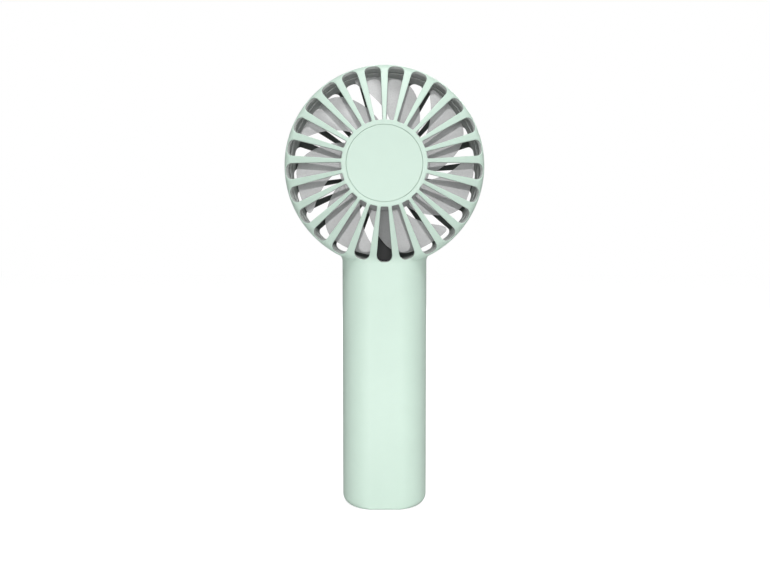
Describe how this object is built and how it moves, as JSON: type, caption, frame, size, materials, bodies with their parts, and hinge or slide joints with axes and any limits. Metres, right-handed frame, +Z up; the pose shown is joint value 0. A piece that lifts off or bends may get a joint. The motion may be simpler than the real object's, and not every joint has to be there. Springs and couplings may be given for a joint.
{
  "type": "handheld electric fan",
  "caption": "Slim handheld fan: round caged head with radial slots, smoke-grey impeller and brushless motor, on a flat-sided handle with cell, button and charging socket.",
  "frame": {"origin": "middle of the flat base, where the fan stands", "axes": "+Z up along the handle to the head, -Y out of the front grille, +X to the right seen from the front"},
  "size_m": [0.0958, 0.046, 0.2145],
  "materials": {
    "shell_plastic": "satin moulded plastic, pale mint",
    "smoke_plastic": "translucent smoke grey",
    "steel": "plain bright steel",
    "ferrite": "pressed ferrite",
    "brass": "turned brass",
    "lamination": "stacked steel sheet",
    "copper": "enamelled copper winding",
    "circuit_board": "green solder resist",
    "black_plastic": "matt black",
    "cell_wrap": "shrink wrap",
    "red_wire": "wire insulation",
    "clear_plastic": "frosted white light guide",
    "white_plastic": "chip body"
  },
  "bodies": {
    "housing": {"front_housing": "shell_plastic", "rear_housing": "shell_plastic", "hub_cap": "shell_plastic", "lead_cover": "black_plastic", "bearing_tube": "brass", "front_bearing": "steel", "rear_bearing": "steel", "stator_core": "lamination", "stator_coil_1": "copper", "stator_coil_2": "copper", "stator_coil_3": "copper", "stator_coil_4": "copper", "stator_coil_5": "copper", "stator_coil_6": "copper", "motor_board": "circuit_board", "motor_lead": "black_plastic", "battery_cell": "cell_wrap", "battery_tab_top": "steel", "battery_tab_bottom": "steel", "battery_lead_red": "red_wire", "battery_lead_black": "black_plastic", "main_board": "circuit_board", "control_chip": "black_plastic", "tact_switch": "black_plastic", "light_pipe": "clear_plastic", "led_1": "white_plastic", "led_2": "white_plastic", "led_3": "white_plastic", "led_4": "white_plastic", "charge_board": "circuit_board", "charge_chip": "black_plastic", "charging_socket": "steel", "shell_screw_1": "steel", "shell_screw_2": "steel", "shell_screw_3": "steel", "shell_screw_4": "steel", "board_screw_1": "steel", "board_screw_2": "steel"},
    "rotor": {"impeller": "smoke_plastic", "rotor_cup": "steel", "magnet_ring": "ferrite", "motor_shaft": "steel", "shaft_clip": "steel"},
    "button": {"power_button": "shell_plastic"}
  },
  "joints": [
    {"name": "impeller_spin", "type": "hinge", "parent": "housing", "child": "rotor", "pos_m": [0, 0, 0.1665], "axis": [0, 1, 0], "continuous": true},
    {"name": "button_press", "type": "slide", "parent": "housing", "child": "button", "axis": [0, -1, 0], "range_m": [0, 0.0005], "stiffness_N_per_m": 1500, "springref_m": -0.0002}
  ]
}
